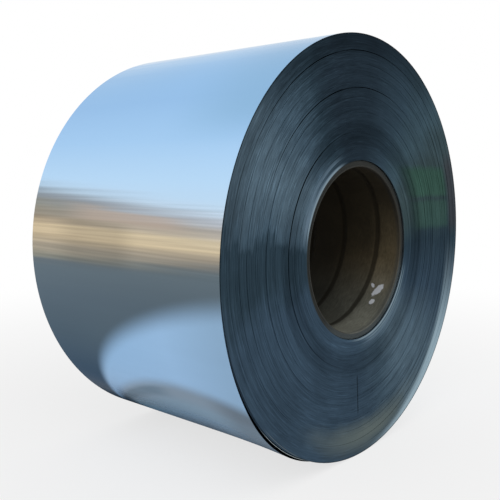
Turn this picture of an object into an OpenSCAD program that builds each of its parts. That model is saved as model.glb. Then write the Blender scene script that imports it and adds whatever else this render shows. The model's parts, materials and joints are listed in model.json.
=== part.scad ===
// Steel coil: bright strip wound on a paperboard core tube, lying with its eye along Y.
// Millimetres, +Z up, floor at Z = 0, the end with the telescoped-in eye faces -Y.

/* [Coil] */
// outside diameter of the wound coil
coil_od = 1280; // [1000:10:1600]
// width of the strip
strip_w = 800; // [300:10:1250]
// thickness of the strip
strip_t = 1; // [0.8:0.1:2]

/* [Ends] */
// rings of turns that stand at their own level on the ends
turn_rings = 26; // [16:1:36]
// set-back of the innermost turns behind the outermost ones
telescope = 15; // [8:1:40]
// spread of the single rings about the telescoped line
stagger = 1.8; // [0.2:0.1:2.6]
// places of the slack gaps, as shares of the wound thickness
slack_places = [0.24, 0.57, 0.88];
// width of a slack gap
slack_w = 3; // [1:0.5:4]
// depth of a slack gap
slack_d = 12; // [4:1:30]

/* [Loose outer wrap] */
// direction in which the wrap starts to leave the coil, counted from +X
loose_from = 175; // [170:1:180]
// direction in which its curve tightens again
loose_turn = 213; // [209:1:217]
// direction in which it meets the coil again
loose_to = 245; // [242:1:248]
// how much larger the radius of the sprung wrap is than the coil's
loose_spring = 60; // [48:1:72]

/* [Core] */
// inside diameter of the core tube
core_id = 508; // [400:2:620]
// wall of the core tube
core_wall = 20; // [8:1:30]
// set-back of each end of the core behind the innermost turns
core_inset = 4; // [1:1:20]
// radial clearance between the core and the innermost turn
core_fit = 0.3; // [0.1:0.1:0.8]

/* [Hidden] */
$fn = 240;
coil_r = coil_od / 2;
core_ro = core_id / 2 + core_wall;
eye_r = core_ro + core_fit;
wound = coil_r - eye_r;
near_y = -(strip_w + telescope) / 2;
core_len = strip_w - 2 * core_inset;
core_y = near_y + telescope + core_inset;
// overshoot of cutting shapes
over = 5;
// arc that is left out at the start, up to where the outer face stands this share of the strip proud
loose_bury = 0.6;
loose_root = acos(1 - loose_bury * strip_t / loose_spring);
// arc over which the other end of the wrap is buried in the coil
loose_tip = 2;
// sprung arc of the wrap: tangent to the coil in the direction loose_from
sprung_r = coil_r + loose_spring;
sprung_at = -loose_spring * dir(loose_from);
// tighter arc of the wrap: tangent to the sprung one, back on the coil in the direction loose_to
turn_at = sprung_at + sprung_r * dir(loose_turn);
back_at = coil_r * dir(loose_to);
chord = turn_at - back_at;
tight_r = chord * chord / (2 * chord * dir(loose_turn));
tight_at = turn_at - tight_r * dir(loose_turn);
back_dir = 360 + atan2(back_at[1] - tight_at[1], back_at[0] - tight_at[0]);

// unit direction at an angle
function dir(a) = [cos(a), sin(a)];

// repeatable value from -1 to 1 for ring i
function uneven(i) = sin(i * 137.5 + 70 * sin(i * 61));

// inner radius of ring i
function ring_r(i) = let (whole = i == 0 || i == turn_rings)
    eye_r + wound / turn_rings * (i + (whole ? 0 : 0.3 * uneven(i + 40)));

// level of ring i behind the outermost one, with the first and last rings on the telescoped line
function ring_level(i) = let (u = i / (turn_rings - 1))
    telescope * (1 - u) + stagger / 2 * uneven(i) * min(1, 6 * u * (1 - u));

// ring that starts at a slack gap
function slack_ring(share) = round(share * turn_rings);

// the two corners of ring i, shifted along the axis
function ring_corners(i, shift) = [[ring_r(i), shift + ring_level(i)], [ring_r(i + 1), shift + ring_level(i)]];

// half section of the wound strip: radius across, axis up
module wound_section() {
    near = [for (i = [0 : turn_rings - 1]) each ring_corners(i, 0)];
    far = [for (i = [turn_rings - 1 : -1 : 0]) let (c = ring_corners(i, strip_w)) each [c[1], c[0]]];
    difference() {
        polygon(concat(near, far));
        for (share = slack_places) {
            k = slack_ring(share);
            near_floor = max(ring_level(k), ring_level(k - 1)) + slack_d;
            far_floor = strip_w + min(ring_level(k), ring_level(k - 1)) - slack_d;
            translate([ring_r(k) - slack_w / 2, near_floor - 2 * slack_d - over])
                square([slack_w, 2 * slack_d + over]);
            translate([ring_r(k) - slack_w / 2, far_floor])
                square([slack_w, 2 * slack_d + over]);
        }
    }
}

// arc of strip with its outer face on radius r about a centre
module strip_arc(centre, r, from, to) {
    translate(centre)
        intersection() {
            difference() {
                circle(r = r);
                circle(r = r - strip_t);
            }
            polygon([[0, 0], 2 * r * dir(from), 2 * r * dir((from + to) / 2), 2 * r * dir(to)]);
        }
}

module steel_coil() {
    color([0.66, 0.74, 0.82])
        translate([0, near_y, coil_r])
            rotate([90, 0, 0])
                mirror([0, 0, 1])
                    union() {
                        rotate_extrude() wound_section();
                        linear_extrude(height = strip_w)
                            strip_arc(sprung_at, sprung_r, loose_from + loose_root, loose_turn);
                        linear_extrude(height = strip_w)
                            strip_arc(tight_at, tight_r, loose_turn, back_dir + loose_tip);
                    }
}

module core_tube() {
    color([0.42, 0.35, 0.26])
        translate([0, core_y, coil_r])
            rotate([-90, 0, 0])
                difference() {
                    cylinder(r = core_ro, h = core_len);
                    translate([0, 0, -over]) cylinder(d = core_id, h = core_len + 2 * over);
                }
}

steel_coil();
core_tube();
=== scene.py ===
import json
import math

import bpy
import numpy as np
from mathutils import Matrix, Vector


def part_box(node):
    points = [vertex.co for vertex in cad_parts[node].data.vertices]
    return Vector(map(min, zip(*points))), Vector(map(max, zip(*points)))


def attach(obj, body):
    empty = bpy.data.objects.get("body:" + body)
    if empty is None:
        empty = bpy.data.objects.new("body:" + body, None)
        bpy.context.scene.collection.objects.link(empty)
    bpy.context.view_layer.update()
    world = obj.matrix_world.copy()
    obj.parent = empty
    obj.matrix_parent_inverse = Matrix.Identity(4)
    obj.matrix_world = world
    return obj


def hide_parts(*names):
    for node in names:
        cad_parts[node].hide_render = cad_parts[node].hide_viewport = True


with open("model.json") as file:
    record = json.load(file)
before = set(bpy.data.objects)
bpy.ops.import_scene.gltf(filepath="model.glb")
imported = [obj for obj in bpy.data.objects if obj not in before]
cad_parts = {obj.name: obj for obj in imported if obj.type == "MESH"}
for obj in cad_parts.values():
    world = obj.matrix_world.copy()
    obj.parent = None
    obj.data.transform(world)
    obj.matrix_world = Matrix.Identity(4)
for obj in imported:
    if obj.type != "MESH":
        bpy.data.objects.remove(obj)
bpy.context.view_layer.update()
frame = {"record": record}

# Sizes of the coil, in metres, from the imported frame
coil_low, coil_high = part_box("steel_coil")
core_low, core_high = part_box("core_tube")
mounts = {mount["name"]: mount for mount in frame["record"]["mounts"]}
COIL_R = (coil_high.z - coil_low.z) / 2
AXIS_Z = coil_low.z + COIL_R
NEAR_Y = coil_low.y
FAR_Y = coil_high.y
CORE_R = (core_high.z - core_low.z) / 2
BORE_R = mounts["eye"]["dims"]["r_mm"] / 1000
CORE_NEAR_Y = core_low.y
CORE_FAR_Y = core_high.y

# The winding: staggered rings of turns between the core and the outer wraps
TELESCOPE = 0.015
STRIP_W = FAR_Y - NEAR_Y - TELESCOPE
STRIP_T = 0.001
CORE_FIT = 0.0003
EYE_R = CORE_R + CORE_FIT
TURN_RINGS = 26
TURNS_PER_RING = 3
STAGGER = 0.0007
TURN_STAGGER = 0.0002
RING_SPREAD = 0.3
AROUND = 240
SHARP_ANGLE = 30

# Slack gaps: place as a share of the wound thickness, direction of the widest opening, reach to each side
SLACK_GAPS = ((0.24, 148, 48), (0.57, 112, 80), (0.88, 116, 66))
SLACK_W = 0.003
SLACK_D = 0.012
SLACK_LEAST = 0.03

# The loose outer wraps: two arcs that leave the coil and come back to it, in degrees from +X
LOOSE_FROM = 175
LOOSE_TURN = 213
LOOSE_TO = 245
LOOSE_SPRING = 0.06
LOOSE_W = 0.36
WRAP_SHARES = (1.0, 0.52, 0.46)
BODY_SHARE = 0.42
LOOSE_RINGS = 2
WRAP_SET_BACKS = (0.0, 0.0012, 0.0005)
WRAP_GAP = 0.0002
WRAP_AROUND = 288
LOOSE_ROWS = 16

# The core tube: paper plies wound as a helix
PLY_PITCH = 0.133
PLY_PHASE = -0.279
PLY_PHASE_ANGLE = -61
PLY_START = PLY_PHASE + PLY_PITCH * PLY_PHASE_ANGLE / 360
SEAM_W = 0.018
SEAM_D = 0.0012
CORE_AROUND = 192
CORE_ALONG = 300
CORE_EDGE = 0.0025
PLY_RINGS = 9
PLY_UNEVEN = 0.0004
# whole turns that keep the count of plies positive, and a half that puts the seam in the middle of one
PLY_COUNT_FROM = 20.5
# how close to the bore's radius a point counts as on its wall
WALL_NEAR = 0.0001

# Flecks of paint in the bore: place along Y, direction in degrees, half width, half height, lean
FLECKS = (
    (-0.338, -37.6, 0.013, 0.023, 0.4),
    (-0.335, -48.3, 0.009, 0.011, 0.1),
    (-0.313, -34.0, 0.006, 0.008, -0.5),
)

# The camera, from the outlines in the 500 x 500 photograph
CAMERA_AT = (-1.8095, -1.5222, 0.8806)
CAMERA_YAW = 48.93
CAMERA_PITCH = -6.47
CAMERA_LENS = 49.92
CAMERA_SENSOR = 36

# The light and the floor: each lamp with its place, its width and its watts
WHITE = (1.0, 1.0, 1.0, 1.0)
WORLD_STRENGTH = 0.6
KEY_LAMP = ((-3.5, -3.0, 4.5), 5.0, 80)
FILL_LAMP = ((4.0, -3.5, 3.0), 4.0, 50)
FLOOR_GREY = (0.9, 0.9, 0.9, 1.0)
FLOOR_HALF = 30.0
FLOOR_DROP = 0.0005
# the floor's share of plain white near the coil, and the distances over which it grows to all of it
FLOOR_WHITE = 0.72
FLOOR_FADE = (0.9, 3.5)


def srgb(red, green, blue):
    """Linear colour of an 8-bit sRGB one."""
    def linear(value):
        share = value / 255
        return share / 12.92 if share <= 0.04045 else ((share + 0.055) / 1.055) ** 2.4
    return (linear(red), linear(green), linear(blue), 1.0)


# Node helpers

class Tree:
    """Short calls for the nodes of one material or world."""

    def __init__(self, owner):
        owner.use_nodes = True
        self.tree = owner.node_tree
        self.tree.nodes.clear()

    def node(self, kind, **settings):
        made = self.tree.nodes.new(kind)
        for name, value in settings.items():
            setattr(made, name, value)
        return made

    def feed(self, socket, value):
        if isinstance(value, bpy.types.NodeSocket):
            self.tree.links.new(value, socket)
        elif value is not None:
            socket.default_value = value

    def math(self, operation, first, second=None):
        made = self.node("ShaderNodeMath", operation=operation)
        self.feed(made.inputs[0], first)
        self.feed(made.inputs[1], second)
        return made.outputs[0]

    def add(self, first, second):
        return self.math("ADD", first, second)

    def less(self, first, second):
        return self.math("SUBTRACT", first, second)

    def times(self, first, second):
        return self.math("MULTIPLY", first, second)

    def over(self, first, second):
        return self.math("DIVIDE", first, second)

    def length(self, across, along):
        """Length over two sides at right angles."""
        return self.math("SQRT", self.add(self.times(across, across), self.times(along, along)))

    def swing(self, noise, width):
        """A noise about zero, times a width."""
        return self.times(self.less(noise, 0.5), width)

    def remap(self, value, low, high, to_low=0.0, to_high=1.0, kind="SMOOTHSTEP"):
        made = self.node("ShaderNodeMapRange", interpolation_type=kind)
        names = ("Value", "From Min", "From Max", "To Min", "To Max")
        for name, part in zip(names, (value, low, high, to_low, to_high)):
            self.feed(made.inputs[name], part)
        return made.outputs[0]

    def window(self, value, low, high, soft_low, soft_high):
        """1 between two limits, falling to 0 outside them over a soft width at each."""
        rise = self.remap(value, low - soft_low, low)
        fall = self.remap(value, high, high + soft_high, 1.0, 0.0)
        return self.times(rise, fall)

    def mix(self, share, first, second, blend="MIX"):
        made = self.node("ShaderNodeMix", data_type="RGBA", blend_type=blend)
        self.feed(made.inputs["Factor"], share)
        colours = [socket for socket in made.inputs if socket.type == "RGBA"]
        self.feed(colours[0], first)
        self.feed(colours[1], second)
        return next(out for out in made.outputs if out.type == "RGBA")

    def shade(self, colour, factor):
        """A colour multiplied by one number."""
        return self.mix(1.0, colour, self.combine(factor, factor, factor), "MULTIPLY")

    def ramp(self, value, stops):
        made = self.node("ShaderNodeValToRGB")
        band = made.color_ramp
        while len(band.elements) < len(stops):
            band.elements.new(1.0)
        for element, (place, colour) in zip(band.elements, stops):
            element.position = place
            element.color = colour
        self.feed(made.inputs[0], value)
        return made.outputs[0]

    def combine(self, x, y, z):
        made = self.node("ShaderNodeCombineXYZ")
        for socket, value in zip(made.inputs, (x, y, z)):
            self.feed(socket, value)
        return made.outputs[0]

    def noise(self, places, scales, detail, roughness=0.5):
        """Noise over three coordinates, each with its own scale."""
        scaled = [self.times(place, scale) for place, scale in zip(places, scales)]
        made = self.node("ShaderNodeTexNoise")
        self.feed(made.inputs["Vector"], self.combine(*scaled))
        self.feed(made.inputs["Scale"], 1.0)
        self.feed(made.inputs["Detail"], detail)
        self.feed(made.inputs["Roughness"], roughness)
        return made.outputs[0]

    def bump(self, height, distance, strength):
        made = self.node("ShaderNodeBump")
        self.feed(made.inputs["Strength"], strength)
        self.feed(made.inputs["Distance"], distance)
        self.feed(made.inputs["Height"], height)
        return made.outputs[0]

    def places(self):
        """Object coordinates x, y, z, height over the axis, radius, and direction from 0 to 360."""
        parts = self.node("ShaderNodeSeparateXYZ")
        self.feed(parts.inputs[0], self.node("ShaderNodeTexCoord").outputs["Object"])
        x, y, z = parts.outputs
        up = self.less(z, AXIS_Z)
        radius = self.length(x, up)
        angle = self.math("DEGREES", self.math("ARCTAN2", up, x))
        turned = self.math("MODULO", self.add(angle, 360.0), 360.0)
        return x, y, z, up, radius, turned

    def finish(self, shader):
        output = self.node("ShaderNodeOutputMaterial")
        self.feed(output.inputs["Surface"], shader)


# Materials

def bright_strip():
    """Mirror-rolled face of the strip, with painted reflections: sky blue, a streaked tan band, slate, and a
    pale sheet low down.
    """
    material = bpy.data.materials.new("bright_strip")
    t = Tree(material)
    x, y, z, up, radius, turned = t.places()
    along = t.over(t.less(y, NEAR_Y), STRIP_W)
    # degrees down from the top of the coil: 90 at mid height, 180 at the foot
    down = t.math("DEGREES", t.math("ARCCOSINE", t.over(up, radius)))
    # streaks along the width, from broad to hair fine
    broad = t.noise((x, y, z), (14, 0.5, 14), 2)
    fine = t.noise((x, y, z), (50, 1.2, 50), 1)
    hair = t.noise((x, y, z), (130, 2.0, 130), 1)
    sway = t.add(t.swing(broad, 2.5), t.swing(fine, 2.8))
    streaked = t.add(down, sway)
    # painted reflection of the sky over the upper side
    sky = t.ramp(t.over(t.add(down, t.times(sway, 0.5)), 90), [
        (0.00, srgb(214, 228, 238)),
        (0.13, srgb(188, 217, 236)),
        (0.24, srgb(158, 204, 242)),
        (0.36, srgb(148, 194, 236)),
        (0.52, srgb(151, 193, 235)),
        (0.66, srgb(166, 205, 242)),
        (0.78, srgb(184, 217, 246)),
        (0.89, srgb(196, 219, 238)),
    ])
    # painted reflection: a duller blue towards the near end, a little below the top
    shaded_rim = t.times(t.window(down, 24, 50, 12, 14), t.remap(along, 0.0, 0.45, 1.0, 0.0))
    sky = t.mix(t.times(shaded_rim, 0.8), sky, srgb(140, 182, 217))
    # painted reflection of the horizon: the tan band climbs a little towards the far end, where its upper
    # edge is dull
    band_top = t.less(77.0, t.times(along, 4.8))
    band_foot = t.add(91.0, t.times(along, 2.4))
    band = t.remap(streaked, band_top, band_foot, 0.0, 1.0, "LINEAR")
    near_band = t.ramp(band, [
        (0.00, srgb(192, 212, 230)),
        (0.16, srgb(180, 188, 198)),
        (0.30, srgb(176, 172, 166)),
        (0.50, srgb(208, 194, 166)),
        (0.62, srgb(206, 190, 160)),
        (0.75, srgb(156, 147, 132)),
        (0.86, srgb(124, 126, 124)),
        (1.00, srgb(98, 112, 119)),
    ])
    far_band = t.ramp(band, [
        (0.00, srgb(168, 190, 208)),
        (0.12, srgb(138, 147, 155)),
        (0.24, srgb(140, 140, 132)),
        (0.40, srgb(152, 138, 117)),
        (0.48, srgb(204, 185, 152)),
        (0.62, srgb(196, 178, 147)),
        (0.78, srgb(170, 159, 140)),
        (0.92, srgb(138, 137, 125)),
        (1.00, srgb(112, 115, 115)),
    ])
    tan = t.shade(t.mix(along, near_band, far_band), t.remap(hair, 0.25, 0.75, 0.88, 1.12))
    # half way along, the painted band is duller, with a rosy brown layer near its top
    duller = t.times(t.window(along, 0.5, 0.7, 0.14, 0.2), t.remap(band, 0.3, 0.42))
    tan = t.shade(tan, t.less(1.0, t.times(duller, 0.2)))
    rosy = t.times(t.window(along, 0.28, 0.6, 0.2, 0.26), t.window(band, 0.23, 0.32, 0.08, 0.08))
    tan = t.mix(t.times(rosy, 0.55), tan, srgb(188, 169, 154))
    colour = t.mix(t.remap(t.less(streaked, band_top), -3.0, 2.0), sky, tan)
    # painted reflection of the ground below the band, in slate
    slate = t.ramp(t.over(t.less(down, 90), 90), [
        (0.02, srgb(96, 110, 119)),
        (0.12, srgb(88, 104, 116)),
        (0.26, srgb(78, 96, 109)),
        (0.36, srgb(72, 90, 106)),
        (0.50, srgb(64, 82, 102)),
        (1.00, srgb(60, 76, 94)),
    ])
    colour = t.mix(t.remap(t.less(streaked, band_foot), -2.5, 1.5), colour, slate)
    # the painted ground reflection deepens towards the far end
    dim = t.times(t.remap(along, 0.45, 0.95), t.remap(down, 98, 118))
    colour = t.mix(t.times(dim, 0.4), colour, srgb(56, 76, 92))
    # painted reflection: a paler blue sheet low on the side, bounded by two soft curves that meet towards
    # the far end
    bend = t.times(along, along)
    hook = t.times(t.math("POWER", along, 7.0), 42)
    upper = t.add(t.add(95.6, t.times(along, 11)), t.add(t.times(bend, 20), hook))
    lower = t.add(t.less(125.5, t.times(along, 8)), t.times(t.times(bend, along), 38))
    # painted reflection past the lower curve: a grey blue foot, with a darker streak along its edge
    past = t.less(down, lower)
    foot_depth = 26
    dusk = t.ramp(t.over(past, foot_depth), [
        (0.12, srgb(132, 150, 167)),
        (0.30, srgb(127, 158, 180)),
        (0.52, srgb(126, 161, 188)),
        (0.66, srgb(124, 151, 175)),
        (0.81, srgb(132, 152, 172)),
        (0.93, srgb(124, 142, 158)),
    ])
    streak = t.times(t.window(past, 1.5, 3.0, 2.0, 3.0), t.remap(along, 0.36, 0.52))
    dusk = t.shade(t.mix(streak, dusk, srgb(96, 122, 141)), t.remap(along, 0.05, 0.25, 0.5, 0.92))
    under = t.times(t.remap(past, -8.0, -4.0), t.remap(along, 0.74, 0.86, 1.0, 0.0))
    colour = t.mix(under, colour, dusk)
    inside = t.times(t.remap(t.less(down, upper), -1.5, 6.5), t.remap(past, -4.0, 1.5, 1.0, 0.0))
    sheet = t.ramp(along, [
        (0.03, srgb(146, 179, 210)),
        (0.30, srgb(158, 195, 232)),
        (0.70, srgb(150, 190, 229)),
    ])
    inside = t.times(inside, t.remap(along, 0.9, 0.98, 1.0, 0.0))
    colour = t.mix(inside, colour, sheet)
    # less sheen at grazing angles low on the side, which faces the ground, and last on the sheet
    lit = t.math("MAXIMUM", inside, under)
    off_sheet = t.times(t.remap(down, 104, 136), t.less(1.0, lit))
    on_sheet = t.times(t.remap(down, 124, 146), lit)
    clear_sheen = (0.78, 0.84, 0.9, 1.0)
    dull_sheen = (0.4, 0.45, 0.52, 1.0)
    sheen = t.mix(t.add(off_sheet, on_sheet), clear_sheen, dull_sheen)
    shader = t.node("ShaderNodeBsdfPrincipled")
    shader.inputs["Specular IOR Level"].default_value = 0.0
    t.feed(shader.inputs["Metallic"], t.remap(down, 130, 146, 1.0, 0.0))
    t.feed(shader.inputs["Base Color"], colour)
    t.feed(shader.inputs["Specular Tint"], sheen)
    t.feed(shader.inputs["Roughness"], t.remap(fine, 0.3, 0.7, 0.15, 0.22))
    t.feed(shader.inputs["Normal"], t.bump(broad, 0.003, 0.1))
    t.finish(shader.outputs[0])
    return material


def strip_edges(name, loose_light=None):
    """Slit edges of the turns: dark slate blue, finely ringed, with lighter and darker sectors of painted
    reflection.
    """
    material = bpy.data.materials.new(name)
    t = Tree(material)
    x, y, z, up, radius, turned = t.places()
    reach = t.over(radius, COIL_R)
    deep = srgb(36, 48, 58)
    slate = srgb(44, 60, 71)
    blue = srgb(56, 74, 90)
    steel = srgb(66, 85, 99)
    pale = srgb(84, 104, 118)
    patches = t.noise((x, 0.0, up), (6, 1, 6), 4)
    rings = t.noise((radius, x, up), (130, 3, 3), 3, 0.6)
    turns = t.noise((radius, x, up), (700, 8, 8), 2, 0.6)
    # sectors with ragged edges, as each turn throws the light a little differently
    ragged = t.add(t.swing(patches, 22), t.swing(rings, 14))
    sector = t.ramp(t.over(t.add(turned, ragged), 360), [
        (0.00, slate),
        (0.05, srgb(54, 70, 73)),
        (0.085, srgb(60, 76, 80)),
        (0.13, srgb(62, 82, 92)),
        (0.18, srgb(50, 67, 79)),
        (0.24, deep),
        (0.30, deep),
        (0.335, slate),
        (0.375, steel),
        (0.405, pale),
        (0.435, pale),
        (0.465, srgb(70, 88, 101)),
        (0.479, steel),
        (0.488, slate),
        (0.525, slate),
        (0.555, blue),
        (0.74, blue),
        (0.80, steel),
        (0.84, pale),
        (0.88, pale),
        (0.94, blue),
        (1.00, slate),
    ])
    # two green patches of painted reflection with level edges on the middle turns at the right, and a greyer
    # rim by them
    height = t.add(up, t.times(ragged, 0.001))
    lower_patch = t.times(t.window(height, 0.06, 0.13, 0.03, 0.02), 0.6)
    upper_patch = t.window(height, 0.165, 0.235, 0.02, 0.03)
    green_reflection = t.times(t.add(lower_patch, upper_patch), t.window(reach, 0.62, 0.86, 0.14, 0.07))
    green_reflection = t.times(green_reflection, t.remap(x, 0.1, 0.2))
    sector = t.mix(green_reflection, sector, srgb(58, 87, 78))
    grey_rim = t.times(t.window(turned, 6, 24, 6, 8), t.remap(reach, 0.89, 0.94))
    sector = t.mix(t.times(grey_rim, 0.75), sector, srgb(62, 64, 70))
    tone = t.add(t.remap(rings, 0.3, 0.7, 0.86, 1.14), t.remap(turns, 0.3, 0.7, -0.14, 0.14))
    tone = t.times(tone, t.remap(patches, 0.3, 0.7, 0.9, 1.1))
    # a dull belt of turns outside the innermost bright ones
    tone = t.times(tone, t.less(1.0, t.times(t.window(reach, 0.52, 0.58, 0.04, 0.05), 0.28)))
    # short glints along the turns
    glints = t.noise((radius, x, up), (420, 17, 17), 2, 0.6)
    glint_tone = t.add(t.remap(glints, 0.52, 0.72, 0.0, 0.34), t.remap(glints, 0.28, 0.42, -0.14, 0.1))
    tone = t.times(tone, t.add(0.9, glint_tone))
    # the turns at the upper left sparkle in fine streaks
    streaks = t.noise((radius, x, up), (620, 26, 26), 1)
    sparkle = t.add(t.remap(streaks, 0.56, 0.7, 0.0, 0.4), t.remap(streaks, 0.3, 0.44, -0.22, 0.0))
    tone = t.times(tone, t.add(1.0, t.times(sparkle, t.window(turned, 105, 165, 20, 10))))
    # dull outermost turns over the top
    dull_rim = t.times(t.window(turned, 62, 170, 22, 6), t.remap(reach, 0.88, 0.95))
    tone = t.times(tone, t.less(1.0, t.times(dull_rim, 0.34)))
    colour = t.shade(sector, tone)
    # painted highlights on the innermost turns at the upper left and the lower right
    highlit_wraps = t.add(t.window(turned, 122, 162, 14, 14), t.window(turned, 285, 318, 15, 20))
    uneven_reach = t.add(reach, t.swing(rings, 0.06))
    highlit_wraps = t.times(highlit_wraps, t.remap(uneven_reach, 0.455, 0.5, 1.0, 0.0))
    colour = t.mix(t.times(highlit_wraps, t.remap(rings, 0.35, 0.6)), colour, srgb(104, 124, 140))
    # a painted highlight on the innermost turns, and a second one beside it at the lower right
    eye_highlight = t.add(t.window(turned, 125, 160, 20, 14), t.window(turned, 278, 330, 20, 20))
    eye_highlight = t.times(eye_highlight, t.window(reach, 0.431, 0.437, 0.002, 0.004))
    colour = t.mix(t.times(eye_highlight, 0.75), colour, srgb(140, 158, 168))
    beside = t.window(turned, 290, 336, 14, 14)
    between = t.times(beside, t.window(reach, 0.4425, 0.4455, 0.003, 0.002))
    colour = t.mix(t.times(between, 0.6), colour, srgb(62, 84, 95))
    second_highlight = t.times(beside, t.window(reach, 0.449, 0.453, 0.002, 0.003))
    colour = t.mix(t.times(second_highlight, 0.55), colour, srgb(130, 150, 160))
    # the outermost turns catch light at the lower right, more of them with every degree
    flare_start = 285
    flare_reach = 0.968
    flare_growth = 0.0013
    flare_from = t.less(flare_reach, t.times(t.less(turned, flare_start), flare_growth))
    flare = t.times(t.remap(t.less(reach, flare_from), -0.015, 0.03), t.window(turned, 296, 316, 30, 46))
    colour = t.mix(flare, colour, srgb(158, 181, 193))
    # a duller grey patch at the foot: direction and reach of its middle, and how far it goes each way
    foot_patch_turned = 274
    foot_patch_reach = 0.91
    foot_patch_half_turn = 33
    foot_patch_half_reach = 0.085
    ragged_turned = t.add(turned, t.times(ragged, 0.8))
    ragged_reach = t.add(reach, t.swing(patches, 0.1))
    foot_patch_around = t.over(t.less(ragged_turned, foot_patch_turned), foot_patch_half_turn)
    foot_patch_out = t.over(t.less(ragged_reach, foot_patch_reach), foot_patch_half_reach)
    foot_patch = t.remap(t.length(foot_patch_around, foot_patch_out), 0.0, 1.25, 0.9, 0.0)
    colour = t.mix(foot_patch, colour, srgb(104, 115, 113))
    # a short dark upright line across the turns under the eye
    upright_line_x = -0.012
    off_line = t.math("ABSOLUTE", t.less(x, upright_line_x))
    upright_line = t.times(t.remap(off_line, 0.0015, 0.004, 1.0, 0.0), t.window(reach, 0.62, 0.78, 0.02, 0.03))
    upright_line = t.times(upright_line, t.remap(up, -0.1, 0.0, 1.0, 0.0))
    colour = t.mix(t.times(upright_line, 0.7), colour, srgb(22, 30, 36))
    # a thin painted highlight on the outermost tight turn, beside the loose wraps
    tight_highlight = t.times(t.window(reach, 0.9955, 0.9972, 0.0006, 0.0006), t.window(turned, 226, 237, 5, 4))
    colour = t.mix(tight_highlight, colour, srgb(98, 109, 115))
    # the sprung part of a loose wrap gets a painted shade or a painted highlight of its own
    if loose_light is not None:
        first, last, loose_light_colour = loose_light
        colour = t.mix(t.window(turned, first, last, 8, 7), colour, loose_light_colour)
    shader = t.node("ShaderNodeBsdfPrincipled")
    shader.inputs["Metallic"].default_value = 1.0
    shader.inputs["Specular Tint"].default_value = (0.5, 0.5, 0.5, 1.0)
    shader.inputs["Anisotropic"].default_value = 0.6
    t.feed(shader.inputs["Base Color"], colour)
    t.feed(shader.inputs["Roughness"], t.remap(rings, 0.3, 0.7, 0.28, 0.42))
    tangent = t.node("ShaderNodeTangent", direction_type="RADIAL", axis="Y")
    t.feed(shader.inputs["Tangent"], tangent.outputs[0])
    t.feed(shader.inputs["Normal"], t.bump(turns, 0.0004, 0.4))
    t.finish(shader.outputs[0])
    return material


def plain_strip(name, colour, roughness):
    """A face of the strip in one tone."""
    material = bpy.data.materials.new(name)
    t = Tree(material)
    shader = t.node("ShaderNodeBsdfPrincipled")
    shader.inputs["Metallic"].default_value = 1.0
    shader.inputs["Roughness"].default_value = roughness
    shader.inputs["Base Color"].default_value = colour
    t.finish(shader.outputs[0])
    return material


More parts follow.
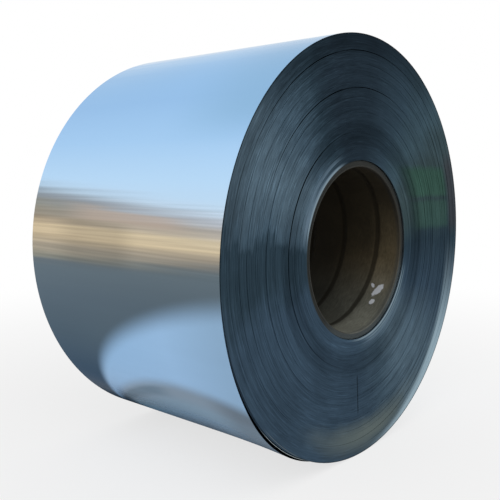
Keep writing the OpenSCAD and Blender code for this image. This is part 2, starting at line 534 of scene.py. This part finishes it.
def paperboard():
    """Spiral-wound board: fibres, dark seams, painted shade deep in the bore and towards its top, pale
    flecks.
    """
    material = bpy.data.materials.new("paperboard")
    t = Tree(material)
    x, y, z, up, radius, turned = t.places()
    wall = t.remap(radius, BORE_R + 0.002, BORE_R + 0.004, 1.0, 0.0)
    wind = t.add(t.over(t.less(y, PLY_START), PLY_PITCH), t.over(turned, 360))
    wobble = t.noise((x, y, z), (20, 20, 20), 2)
    ply = t.math("FRACT", t.add(t.add(wind, PLY_COUNT_FROM), t.swing(wobble, 0.03)))
    off_seam = t.times(t.math("ABSOLUTE", t.less(ply, 0.5)), PLY_PITCH)
    seam = t.times(t.remap(off_seam, 0.3 * SEAM_W, 0.75 * SEAM_W, 1.0, 0.0), wall)
    fibre = t.noise((turned, y, radius), (0.25, 160, 300), 5, 0.65)
    blotch = t.noise((x, y, z), (9, 9, 9), 4)
    inner = t.ramp(fibre, [
        (0.25, srgb(86, 87, 80)),
        (0.50, srgb(104, 105, 98)),
        (0.75, srgb(120, 121, 114)),
    ])
    end = t.ramp(fibre, [
        (0.25, srgb(32, 34, 32)),
        (0.50, srgb(40, 42, 40)),
        (0.75, srgb(50, 51, 48)),
    ])
    board = t.mix(wall, end, inner)
    board = t.shade(board, t.remap(blotch, 0.3, 0.7, 0.8, 1.1))
    # the lower right of the end is paler
    wide_pale = t.times(t.window(turned, 238, 326, 14, 20), 0.5)
    short_pale = t.times(t.window(turned, 316, 342, 12, 12), 0.5)
    paler_part = t.times(t.add(wide_pale, short_pale), t.less(1.0, wall))
    paler_part = t.times(paler_part, t.remap(blotch, 0.3, 0.7, 0.7, 1.2))
    board = t.mix(paler_part, board, srgb(78, 87, 90))
    # painted shade: the board darkens from the foot of the bore to its top and away from its ends
    depth = t.math("MINIMUM", t.less(y, CORE_NEAR_Y), t.less(CORE_FAR_Y, y))
    lift = t.over(up, BORE_R)
    first_depth_shade = t.remap(depth, 0.07, 0.12, 1.0, 0.5)
    second_depth_shade = t.remap(depth, 0.18, 0.27, 1.0, 0.45)
    shade = t.times(t.remap(lift, -0.95, 0.75, 1.25, 0.2), t.times(first_depth_shade, second_depth_shade))
    darkest = 0.19
    shade = t.math("MAXIMUM", shade, darkest)
    tint = t.mix(t.remap(lift, -0.9, -0.1), srgb(255, 255, 250), srgb(255, 228, 190))
    dull = t.mix(1.0, t.shade(board, shade), tint, "MULTIPLY")
    # greyer at the mouth of the bore, under a painted shade from its foot to its top
    mouth = t.remap(depth, 0.005, 0.02, 0.6, 0.0)
    dull = t.mix(mouth, dull, t.shade(srgb(74, 77, 76), t.remap(lift, -0.9, 0.6, 0.95, 0.25)))
    board = t.mix(wall, board, dull)
    board = t.mix(t.times(seam, 0.72), board, srgb(22, 18, 10))
    # pale flecks of paint on the right of the bore near its opening
    round_at = t.times(t.math("RADIANS", t.less(turned, 360)), BORE_R)
    rough_edge = t.swing(t.noise((x, y, z), (120, 120, 120), 2), 0.9)
    flecks = 0.0
    for at_y, at_angle, wide, tall, lean in FLECKS:
        rise = t.less(round_at, math.radians(at_angle) * BORE_R)
        across = t.over(t.add(t.less(y, at_y), t.times(rise, lean)), wide)
        off = t.length(across, t.over(rise, tall))
        fleck = t.remap(t.add(off, rough_edge), 0.8, 1.15, 1.0, 0.0)
        flecks = t.math("MAXIMUM", flecks, fleck)
    board = t.mix(t.times(flecks, wall), board, srgb(206, 210, 216))
    shader = t.node("ShaderNodeBsdfPrincipled")
    shader.inputs["Specular IOR Level"].default_value = 0.15
    t.feed(shader.inputs["Base Color"], board)
    t.feed(shader.inputs["Roughness"], t.remap(fibre, 0.3, 0.7, 0.62, 0.85))
    t.feed(shader.inputs["Normal"], t.bump(fibre, 0.0008, 0.6))
    t.finish(shader.outputs[0])
    return material


# Shapes

def mesh_piece(name, vertices, faces, materials, indices=None):
    """A smooth-shaded mesh object with sharp edges past an angle, riding on the part's one body."""
    mesh = bpy.data.meshes.new(name)
    mesh.from_pydata(vertices, [], faces)
    for material in materials:
        mesh.materials.append(material)
    if indices is not None:
        mesh.polygons.foreach_set("material_index", indices)
    mesh.polygons.foreach_set("use_smooth", [True] * len(mesh.polygons))
    mesh.set_sharp_from_angle(angle=math.radians(SHARP_ANGLE))
    mesh.update()
    piece = bpy.data.objects.new(name, mesh)
    bpy.context.scene.collection.objects.link(piece)
    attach(piece, "root")
    return piece


def uneven(i):
    """Repeatable value from -1 to 1."""
    return math.sin(math.radians(i * 137.5 + 70 * math.sin(math.radians(i * 61))))


def ring_radius(i, outer):
    """Inner radius of ring i of the winding."""
    whole = i in (0, TURN_RINGS)
    return EYE_R + (outer - EYE_R) / TURN_RINGS * (i + (0 if whole else RING_SPREAD * uneven(i + 40)))


def ring_step(i):
    """Height of ring i over the telescoped line, none for the first and last rings."""
    share = i / (TURN_RINGS - 1)
    return STAGGER / 2 * uneven(i) * min(1, 6 * share * (1 - share))


def set_back(radius, outer):
    """Set-back of the telescoped line behind the outermost turns."""
    return TELESCOPE * (outer - radius) / (outer - EYE_R)


def slack_opening(degrees, centre, spread):
    """Share of its full width to which a slack gap opens in each direction."""
    off = np.abs((degrees - centre + 180) % 360 - 180)
    lobe = np.cos(np.clip(off / spread, 0, 1) * math.pi / 2) ** 2
    return SLACK_LEAST + (1 - SLACK_LEAST) * lobe


def loose_places():
    """Places along the width from 0 to 1, closer where the loose wraps settle, and the lift left at each."""
    along = np.append(np.linspace(0, LOOSE_W / STRIP_W, LOOSE_ROWS), 1)
    return along, np.clip(1 - along * STRIP_W / LOOSE_W, 0, 1) ** 2


def loosened(rows, outer, lift):
    """End rows whose outermost rings are spread outwards by a lift."""
    inner = ring_radius(TURN_RINGS - LOOSE_RINGS, outer)
    spread = []
    for radius, level in rows:
        share = np.clip((radius - inner) / (outer - inner), 0, 1)
        spread.append((radius + lift * share, level))
    return spread


def end_rows(outer, degrees, inward):
    """Radii by direction and level of every turn edge on an end, from the eye out, with the slack gaps."""
    gaps = {}
    for place, centre, spread in SLACK_GAPS:
        gaps[round(place * TURN_RINGS)] = SLACK_W / 2 * slack_opening(degrees, centre, spread)
    even = np.zeros_like(degrees)
    rows = []
    for i in range(TURN_RINGS):
        settled = i in (0, TURN_RINGS - 1)
        turns = 1 if settled else TURNS_PER_RING
        start = ring_radius(i, outer)
        step = (ring_radius(i + 1, outer) - start) / turns
        for k in range(turns):
            raised = ring_step(i) + (0 if settled else TURN_STAGGER * uneven(7 * i + 3 * k + 11))
            inner = start + k * step
            inner_gap = gaps[i] if k == 0 and i in gaps else 0
            outer_gap = gaps[i + 1] if k == turns - 1 and i + 1 in gaps else 0
            rows.append((inner + inner_gap + even, set_back(inner, outer) + raised))
            rows.append((inner + step - outer_gap + even, set_back(inner + step, outer) + raised))
        if i + 1 in gaps:
            middle = ring_radius(i + 1, outer)
            floor = set_back(middle, outer) + inward * SLACK_D
            rows += [(middle - gaps[i + 1], floor), (middle + gaps[i + 1], floor)]
    return rows


def revolve(rows):
    """Vertices and faces of a closed section turned about the axis, from rows of radii and their places."""
    around = len(rows[0][0])
    angles = np.linspace(0, 2 * math.pi, around, endpoint=False)
    radius = np.array([row[0] for row in rows])
    place = np.array([row[1] for row in rows])[:, None]
    x = radius * np.cos(angles)
    z = AXIS_Z + radius * np.sin(angles)
    vertices = np.stack([x, np.broadcast_to(place, x.shape), z], -1).reshape(-1, 3)
    count = len(rows)
    faces = []
    for i in range(count):
        low = i * around
        high = (i + 1) % count * around
        for j in range(around):
            k = (j + 1) % around
            faces.append((low + j, high + j, high + k, low + k))
    return vertices, faces


def wound_turns(edges, shaded, eye):
    """The winding under the loose wraps, with every ring of turns on both ends."""
    outer = COIL_R - len(WRAP_SHARES) * (STRIP_T + WRAP_GAP)
    degrees = np.linspace(0, 360, AROUND, endpoint=False)
    lift = BODY_SHARE * loose_lift(degrees)
    along, fade = loose_places()
    near_rows = loosened(end_rows(outer, degrees, 1), outer, lift)
    near = [(radius, NEAR_Y + level) for radius, level in near_rows]
    side = [(outer + lift * left, NEAR_Y + STRIP_W * place) for place, left in zip(along[1:-1], fade[1:-1])]
    far = [(radius, NEAR_Y + STRIP_W + level) for radius, level in end_rows(outer, degrees, -1)]
    rows = near + side + far[::-1]
    vertices, faces = revolve(rows)
    # materials by row: the ends, the side under the wraps and the wall of the eye
    kinds = np.zeros(len(rows), dtype=int)
    kinds[len(near) - 1:len(near) + len(side)] = 1
    kinds[-1] = 2
    indices = np.repeat(kinds, AROUND).tolist()
    piece = mesh_piece("wound_turns", vertices.tolist(), faces, [edges, shaded, eye], indices)
    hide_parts("steel_coil")


def loose_lift(angles):
    """Height of the loose wrap over the coil's round, for angles in degrees."""
    def unit(degrees):
        return np.array([math.cos(math.radians(degrees)), math.sin(math.radians(degrees))])

    sprung_r = COIL_R + LOOSE_SPRING
    sprung_at = -LOOSE_SPRING * unit(LOOSE_FROM)
    turn_at = sprung_at + sprung_r * unit(LOOSE_TURN)
    chord = turn_at - COIL_R * unit(LOOSE_TO)
    tight_r = chord @ chord / (2 * chord @ unit(LOOSE_TURN))
    tight_at = turn_at - tight_r * unit(LOOSE_TURN)
    turn_angle = math.degrees(math.atan2(turn_at[1], turn_at[0])) % 360
    lifts = []
    for angle in angles:
        if angle < LOOSE_FROM or angle > LOOSE_TO:
            lifts.append(0.0)
            continue
        centre, radius = (sprung_at, sprung_r) if angle <= turn_angle else (tight_at, tight_r)
        forward = centre @ unit(angle)
        lifts.append(forward + math.sqrt(radius ** 2 - centre @ centre + forward ** 2) - COIL_R)
    return np.array(lifts)


def outer_wrap(number, edges, outside, shaded):
    """One of the outer wraps, a full turn of strip that springs away at the lower left."""
    degrees = np.linspace(0, 360, WRAP_AROUND, endpoint=False)
    angles = np.radians(degrees)
    along, fade = loose_places()
    base = COIL_R - number * (STRIP_T + WRAP_GAP)
    lift = WRAP_SHARES[number] * loose_lift(degrees)[None, :] * fade[:, None]
    near = NEAR_Y + WRAP_SET_BACKS[number]
    place = np.broadcast_to(near + STRIP_W * along[:, None], lift.shape)
    layers = []
    for radius in (base + lift, base + lift - STRIP_T):
        x = radius * np.cos(angles)
        z = AXIS_Z + radius * np.sin(angles)
        layers.append(np.stack([x, place, z], -1).reshape(-1, 3))
    vertices = np.concatenate(layers).tolist()
    inside = (LOOSE_ROWS + 1) * WRAP_AROUND
    faces = []
    kinds = []
    # the outer and inner faces, then the two edges
    for i in range(LOOSE_ROWS):
        for j in range(WRAP_AROUND):
            k = (j + 1) % WRAP_AROUND
            a = i * WRAP_AROUND + j
            b = i * WRAP_AROUND + k
            c = a + WRAP_AROUND
            d = b + WRAP_AROUND
            faces.append((a, c, d, b))
            faces.append((inside + a, inside + b, inside + d, inside + c))
            kinds += [1, 2]
    last = LOOSE_ROWS * WRAP_AROUND
    for j in range(WRAP_AROUND):
        k = (j + 1) % WRAP_AROUND
        faces.append((j, k, inside + k, inside + j))
        faces.append((last + j, inside + last + j, inside + last + k, last + k))
        kinds += [0, 0]
    piece = mesh_piece(f"outer_wrap_{number + 1}", vertices, faces, [edges, outside, shaded], kinds)


def core_tube(board):
    """The paperboard tube, with a helical seam in its bore, ply edges on its ends and worn corners."""
    ply = (CORE_R - BORE_R - 2 * CORE_EDGE) / PLY_RINGS
    end = [(BORE_R, CORE_EDGE)]
    for k in range(PLY_RINGS):
        level = PLY_UNEVEN * (1 + uneven(5 * k + 2))
        end.append((BORE_R + CORE_EDGE + k * ply, level))
        end.append((BORE_R + CORE_EDGE + (k + 1) * ply, level))
    end.append((CORE_R, CORE_EDGE))
    near = [(radius, CORE_NEAR_Y + level) for radius, level in end]
    far = [(radius, CORE_FAR_Y - level) for radius, level in reversed(end)]
    between = np.linspace(CORE_FAR_Y - CORE_EDGE, CORE_NEAR_Y + CORE_EDGE, CORE_ALONG)[1:-1]
    wall = [(BORE_R, place) for place in between]
    points, faces = revolve([(np.full(CORE_AROUND, radius), place) for radius, place in near + far + wall])
    # the seam is a shallow groove in the wall of the bore
    x = points[:, 0].copy()
    up = points[:, 2] - AXIS_Z
    turn = np.arctan2(up, x) / (2 * math.pi)
    wind = (points[:, 1] - PLY_START) / PLY_PITCH + turn
    off_seam = np.abs((wind + PLY_COUNT_FROM) % 1 - 0.5) * PLY_PITCH
    groove = SEAM_D * np.cos(np.clip(off_seam / SEAM_W, 0, 0.5) * math.pi) ** 2
    on_wall = np.hypot(x, up) < BORE_R + WALL_NEAR
    stretch = 1 + np.where(on_wall, groove, 0) / BORE_R
    points[:, 0] = x * stretch
    points[:, 2] = AXIS_Z + up * stretch
    piece = mesh_piece("core_board", points.tolist(), faces, [board])
    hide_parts("core_tube")


# Stage

def seen_directly(t):
    """1 for rays that show the background: from the camera, in a reflection or through a clear thing."""
    path = t.node("ShaderNodeLightPath").outputs
    seen = t.math("MAXIMUM", path["Is Camera Ray"], path["Is Glossy Ray"])
    return t.math("MAXIMUM", seen, path["Is Transmission Ray"])


def studio_world():
    """Soft even light all round, and plain white where it is seen."""
    world = bpy.data.worlds.new("studio")
    bpy.context.scene.world = world
    t = Tree(world)
    light = t.node("ShaderNodeBackground")
    light.inputs["Color"].default_value = WHITE
    light.inputs["Strength"].default_value = WORLD_STRENGTH
    white = t.node("ShaderNodeBackground")
    white.inputs["Color"].default_value = WHITE
    white.inputs["Strength"].default_value = 1.0
    mix = t.node("ShaderNodeMixShader")
    t.feed(mix.inputs[0], seen_directly(t))
    t.feed(mix.inputs[1], light.outputs[0])
    t.feed(mix.inputs[2], white.outputs[0])
    output = t.node("ShaderNodeOutputWorld")
    t.feed(output.inputs["Surface"], mix.outputs[0])


def pale_floor():
    """A wide pale floor that keeps the coil's shadow and fades to white far off."""
    material = bpy.data.materials.new("pale_floor")
    t = Tree(material)
    parts = t.node("ShaderNodeSeparateXYZ")
    t.feed(parts.inputs[0], t.node("ShaderNodeTexCoord").outputs["Object"])
    away = t.length(parts.outputs[0], parts.outputs[1])
    share = t.times(t.remap(away, *FLOOR_FADE, FLOOR_WHITE, 1.0), seen_directly(t))
    matt = t.node("ShaderNodeBsdfDiffuse")
    matt.inputs["Color"].default_value = FLOOR_GREY
    glow = t.node("ShaderNodeEmission")
    glow.inputs["Color"].default_value = WHITE
    glow.inputs["Strength"].default_value = 1.0
    mix = t.node("ShaderNodeMixShader")
    t.feed(mix.inputs[0], share)
    t.feed(mix.inputs[1], matt.outputs[0])
    t.feed(mix.inputs[2], glow.outputs[0])
    t.finish(mix.outputs[0])
    mesh = bpy.data.meshes.new("floor")
    sides = ((-1, -1), (1, -1), (1, 1), (-1, 1))
    corners = [(FLOOR_HALF * right, FLOOR_HALF * back, -FLOOR_DROP) for right, back in sides]
    mesh.from_pydata(corners, [], [(0, 1, 2, 3)])
    mesh.materials.append(material)
    floor = bpy.data.objects.new("floor", mesh)
    bpy.context.scene.collection.objects.link(floor)


def soft_lamp(name, at, size, watts):
    """A large square lamp aimed at the middle of the coil."""
    data = bpy.data.lights.new(name, "AREA")
    data.size = size
    data.energy = watts
    lamp = bpy.data.objects.new(name, data)
    lamp.location = at
    aim = Vector((0, 0, AXIS_Z)) - Vector(at)
    lamp.rotation_euler = aim.to_track_quat("-Z", "Y").to_euler()
    lamp.visible_glossy = False
    bpy.context.scene.collection.objects.link(lamp)


def photo_camera():
    """The camera at the photograph's place and angle."""
    data = bpy.data.cameras.new("camera")
    data.sensor_width = CAMERA_SENSOR
    data.lens = CAMERA_LENS
    camera = bpy.data.objects.new("camera", data)
    camera.location = CAMERA_AT
    camera.rotation_euler = (math.radians(90 + CAMERA_PITCH), 0, math.radians(-CAMERA_YAW))
    bpy.context.scene.collection.objects.link(camera)
    bpy.context.scene.camera = camera


photo_camera()
studio_world()
pale_floor()
soft_lamp("key", *KEY_LAMP)
soft_lamp("fill", *FILL_LAMP)
bpy.context.scene.view_settings.view_transform = "Standard"

# the winding in its wraps, the outermost one bright outside, each with its own painted shade or highlight
# where it is loose
# painted shade: a near-black strip face between the wraps and under them, where hardly any light reaches
shaded = plain_strip("shaded_strip", srgb(14, 18, 23), 0.45)
eye_strip = plain_strip("eye_strip", srgb(150, 168, 180), 0.3)
wound_turns(strip_edges("strip_edges"), shaded, eye_strip)
first_wrap_shaded_edges = strip_edges("loose_edges_shaded", (203, 240, srgb(16, 24, 34)))
second_wrap_highlit_edges = strip_edges("loose_edges_highlit", (227, 239, srgb(172, 184, 188)))
third_wrap_shaded_edges = strip_edges("loose_edges_less_shaded", (230, 240, srgb(24, 32, 40)))
outer_wrap(0, first_wrap_shaded_edges, bright_strip(), shaded)
outer_wrap(1, second_wrap_highlit_edges, shaded, shaded)
outer_wrap(2, third_wrap_shaded_edges, shaded, shaded)
core_tube(paperboard())
